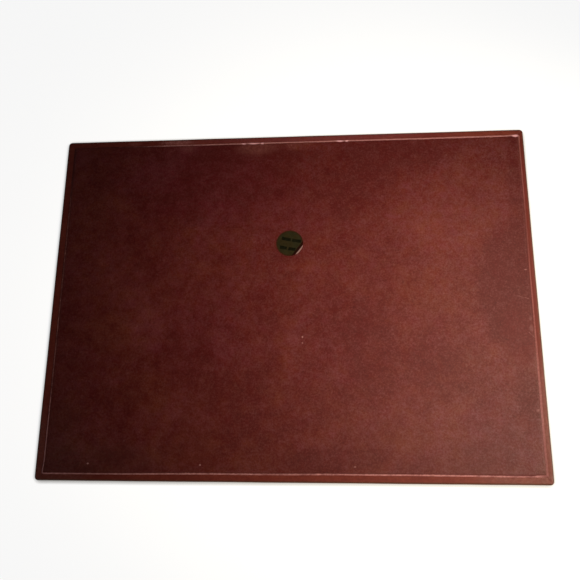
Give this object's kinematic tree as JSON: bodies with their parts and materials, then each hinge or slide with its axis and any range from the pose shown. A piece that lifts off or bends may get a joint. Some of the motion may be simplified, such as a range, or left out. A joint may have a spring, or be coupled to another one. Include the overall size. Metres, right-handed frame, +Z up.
{
  "type": "desk mat",
  "caption": "Stiff rectangular leather desk mat with rolled edges, an inset mottled leather lining with a pale skived edge, and a small round foil label.",
  "frame": {"origin": "centre of the flat face that lies on the desk, on the mat's outer outline", "axes": "+X along the long side, +Y along the short side towards the edge nearest the round label, +Z up out of the lined face"},
  "size_m": [0.45, 0.33, 0.0063],
  "materials": {
    "cover_leather": "satin",
    "core_board": "matte",
    "infill_card": "matte",
    "lining_leather": "matte",
    "label_foil": "satin"
  },
  "bodies": {
    "root": {"cover_leather": "cover_leather", "core_board": "core_board", "infill_card": "infill_card", "lining_panel": "lining_leather", "round_label": "label_foil"}
  },
  "joints": []
}
